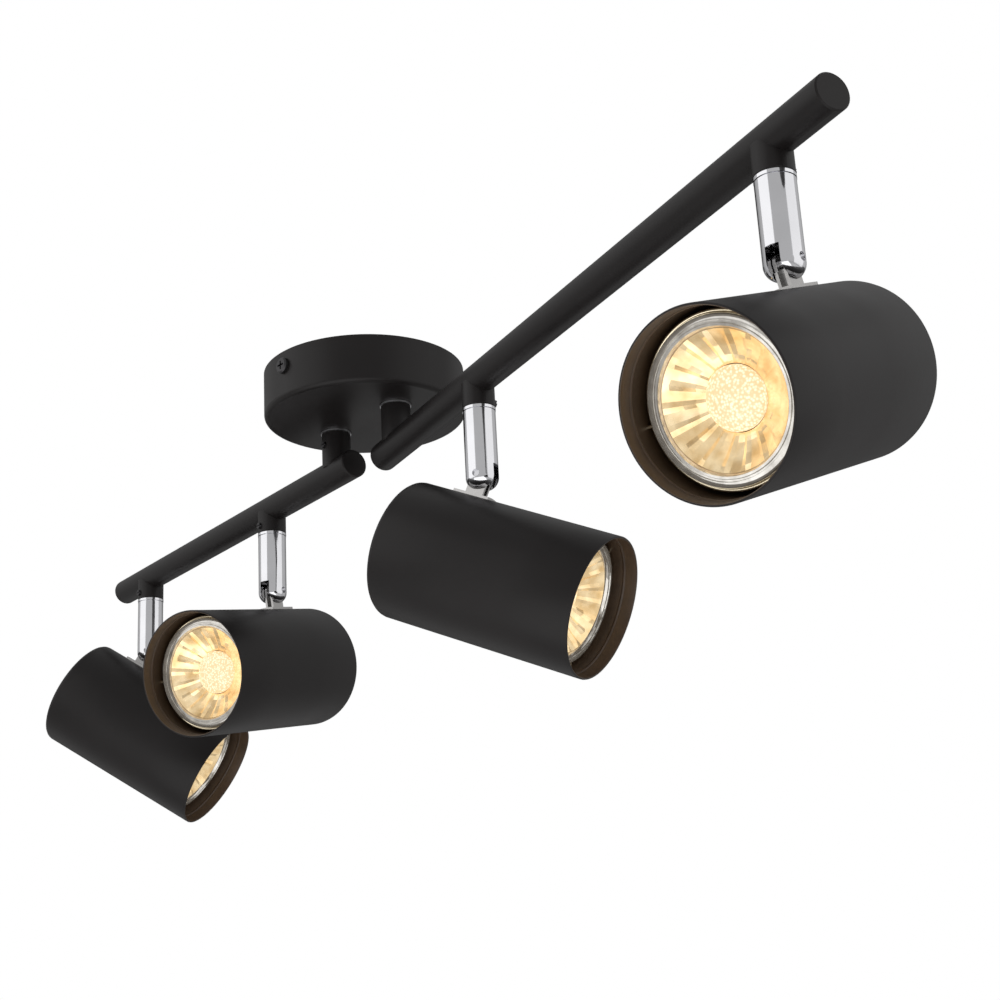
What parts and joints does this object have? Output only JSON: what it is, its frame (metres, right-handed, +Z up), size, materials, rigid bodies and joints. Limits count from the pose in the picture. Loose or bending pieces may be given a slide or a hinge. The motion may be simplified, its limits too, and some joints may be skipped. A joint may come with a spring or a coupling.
{
  "type": "track lighting fixture",
  "caption": "Ceiling spot bar: two swivelling tube arms under a round canopy, with cylindrical spot heads that pan and tilt on chrome swivels.",
  "frame": {"origin": "centre of the canopy's ceiling face", "axes": "+Z up into the ceiling, X along the line of the two arm posts, Y along the ceiling strap"},
  "size_m": [0.5873, 0.205, 0.1742],
  "materials": {
    "canopy_black": "satin black powder coat",
    "arm_black": "satin black powder coat",
    "screw_black": "blackened steel",
    "washer_steel": "plain steel",
    "zinc_steel": "zinc plated",
    "brass": "plain brass",
    "chrome": "polished chrome",
    "pin_steel": "polished steel",
    "knuckle_steel": "bright stamped steel",
    "shade_black": "satin black powder coat",
    "ceramic": null,
    "terminal_white": "off-white polyamide",
    "lead_white": "insulated lead",
    "reflector": "ribbed bright reflector",
    "lens_glass": "pebbled clear glass",
    "ring_wire": "bright spring wire"
  },
  "bodies": {
    "canopy": {"canopy_cover": "canopy_black", "ceiling_strap": "zinc_steel", "canopy_side_screws": "screw_black", "terminal_block": "terminal_white", "terminal_screws": "brass", "earth_screw": "brass", "canopy_leads": "lead_white"},
    "arm_a": {"arm_tube_a": "arm_black", "arm_post_a": "arm_black", "post_washer_a": "washer_steel", "nipples_a": "brass", "nuts_a": "zinc_steel", "end_caps_a": "arm_black", "set_screws_a": "screw_black", "necks_a": "arm_black"},
    "arm_b": {"arm_tube_b": "arm_black", "arm_post_b": "arm_black", "post_washer_b": "washer_steel", "nipples_b": "brass", "nuts_b": "zinc_steel", "end_caps_b": "arm_black", "set_screws_b": "screw_black", "necks_b": "arm_black"},
    "swivel_1": {"barrel_1": "chrome", "collar_ring_1": "chrome", "pivot_pin_1": "pin_steel"},
    "head_1": {"knuckle_1": "knuckle_steel", "shade_1": "shade_black", "lamp_holder_1": "ceramic", "lamp_body_1": "reflector", "lamp_lens_1": "lens_glass", "retaining_ring_1": "ring_wire"},
    "swivel_2": {"barrel_2": "chrome", "collar_ring_2": "chrome", "pivot_pin_2": "pin_steel"},
    "head_2": {"knuckle_2": "knuckle_steel", "shade_2": "shade_black", "lamp_holder_2": "ceramic", "lamp_body_2": "reflector", "lamp_lens_2": "lens_glass", "retaining_ring_2": "ring_wire"},
    "swivel_3": {"barrel_3": "chrome", "collar_ring_3": "chrome", "pivot_pin_3": "pin_steel"},
    "head_3": {"knuckle_3": "knuckle_steel", "shade_3": "shade_black", "lamp_holder_3": "ceramic", "lamp_body_3": "reflector", "lamp_lens_3": "lens_glass", "retaining_ring_3": "ring_wire"},
    "swivel_4": {"barrel_4": "chrome", "collar_ring_4": "chrome", "pivot_pin_4": "pin_steel"},
    "head_4": {"knuckle_4": "knuckle_steel", "shade_4": "shade_black", "lamp_holder_4": "ceramic", "lamp_body_4": "reflector", "lamp_lens_4": "lens_glass", "retaining_ring_4": "ring_wire"}
  },
  "joints": [
    {"name": "arm_a_swing", "type": "hinge", "parent": "canopy", "child": "arm_a", "pos_m": [0.0215, 0, -0.0415], "axis": [0, 0, 1], "range_deg": [-34.3, 65.7]},
    {"name": "arm_b_swing", "type": "hinge", "parent": "canopy", "child": "arm_b", "pos_m": [-0.0215, 0, -0.0415], "axis": [0, 0, 1], "range_deg": [-43.7, 56.3]},
    {"name": "pan_1", "type": "hinge", "parent": "arm_a", "child": "swivel_1", "pos_m": [0.29394, -0.07658, -0.054], "axis": [0, 0, 1], "range_deg": [-175, 175]},
    {"name": "pan_2", "type": "hinge", "parent": "arm_a", "child": "swivel_2", "pos_m": [0.09852, -0.02165, -0.054], "axis": [0, 0, 1], "range_deg": [-175, 175]},
    {"name": "pan_3", "type": "hinge", "parent": "arm_b", "child": "swivel_3", "pos_m": [-0.08114, 0.00658, -0.054], "axis": [0, 0, 1], "range_deg": [-175, 175]},
    {"name": "pan_4", "type": "hinge", "parent": "arm_b", "child": "swivel_4", "pos_m": [-0.21135, 0.02096, -0.054], "axis": [0, 0, 1], "range_deg": [-175, 175]},
    {"name": "tilt_1", "type": "hinge", "parent": "swivel_1", "child": "head_1", "pos_m": [0.29394, -0.07658, -0.08295], "axis": [0.9966, 0.0819, 0], "range_deg": [-36.7, 63.3]},
    {"name": "tilt_2", "type": "hinge", "parent": "swivel_2", "child": "head_2", "pos_m": [0.09852, -0.02165, -0.08295], "axis": [-0.3939, 0.9191, 0], "range_deg": [-39.4, 60.6]},
    {"name": "tilt_3", "type": "hinge", "parent": "swivel_3", "child": "head_3", "pos_m": [-0.08114, 0.00658, -0.08295], "axis": [0.9588, 0.284, 0], "range_deg": [-27.1, 72.9]},
    {"name": "tilt_4", "type": "hinge", "parent": "swivel_4", "child": "head_4", "pos_m": [-0.21135, 0.02096, -0.08295], "axis": [-0.6494, 0.7604, 0], "range_deg": [-48.4, 51.6]}
  ]
}
